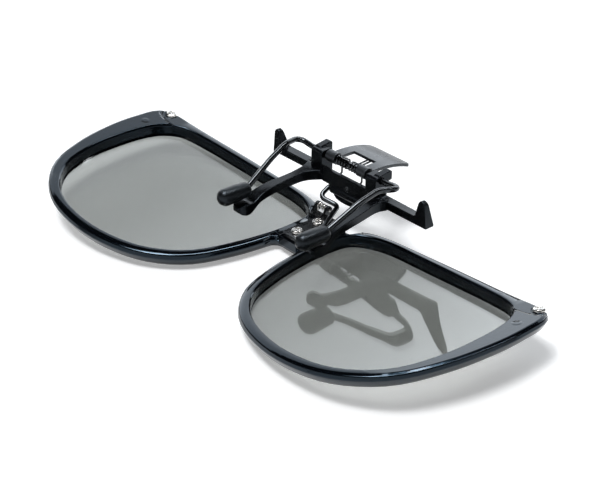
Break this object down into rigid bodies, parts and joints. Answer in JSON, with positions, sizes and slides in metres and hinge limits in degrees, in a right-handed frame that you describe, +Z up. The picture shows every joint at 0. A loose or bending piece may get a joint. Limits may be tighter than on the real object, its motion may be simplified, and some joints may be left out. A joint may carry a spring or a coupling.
{
  "type": "stereoscopic glasses",
  "caption": "Flip-up clip-on stereoscopic glasses: wrapped black frame with grey polarising lenses, wire hinge and sprung clip with rubber-tipped jaws.",
  "frame": {"origin": "centre of the footprint on the surface that the glasses lie on", "axes": "+X runs across the face toward the lens that is on the right when seen from the wearer's side with the brow up, +Y toward the brow, +Z up from the front of the glasses toward the wearer"},
  "size_m": [0.1392, 0.0687, 0.0201],
  "materials": {
    "gloss_black_plastic": "smooth gloss moulded plastic",
    "satin_black_plastic": "satin moulded plastic",
    "polarising_lens": "thin grey polarising plastic sheet, smooth",
    "bright_metal": "bright plated",
    "black_plate": "satin black coating",
    "black_wire": "satin black coating on spring wire",
    "grey_lever": "dark grey coating on sheet metal",
    "black_rubber": "soft matt rubber"
  },
  "bodies": {
    "frame": {"front_frame": "gloss_black_plastic", "brow_bar_left": "gloss_black_plastic", "brow_bar_right": "gloss_black_plastic", "lens_left": "polarising_lens", "lens_right": "polarising_lens", "corner_screw_left": "bright_metal", "corner_screw_right": "bright_metal", "bridge_plate": "black_plate", "bridge_screw_upper": "bright_metal", "bridge_screw_lower": "bright_metal", "hinge_wire": "black_wire", "spring_pin": "bright_metal", "flip_spring": "bright_metal"},
    "clip": {"clip_body": "satin_black_plastic", "web_rivet": "bright_metal"},
    "jaw": {"lever": "grey_lever", "wire_yoke": "black_wire", "rubber_tip_left": "black_rubber", "rubber_tip_right": "black_rubber", "torsion_spring_left": "black_wire", "torsion_spring_right": "black_wire"}
  },
  "joints": [
    {"name": "flip", "type": "hinge", "parent": "frame", "child": "clip", "pos_m": [0, 0.02004, 0.0101], "axis": [-1, 0, 0], "range_deg": [0, 90]},
    {"name": "jaw", "type": "hinge", "parent": "clip", "child": "jaw", "pos_m": [0, 0.02004, 0.0182], "axis": [-1, 0, 0], "range_deg": [0, 25], "stiffness_Nm_per_rad": 0.04, "springref_deg": -34.38, "deforming": ["torsion_spring_left", "torsion_spring_right"]}
  ]
}
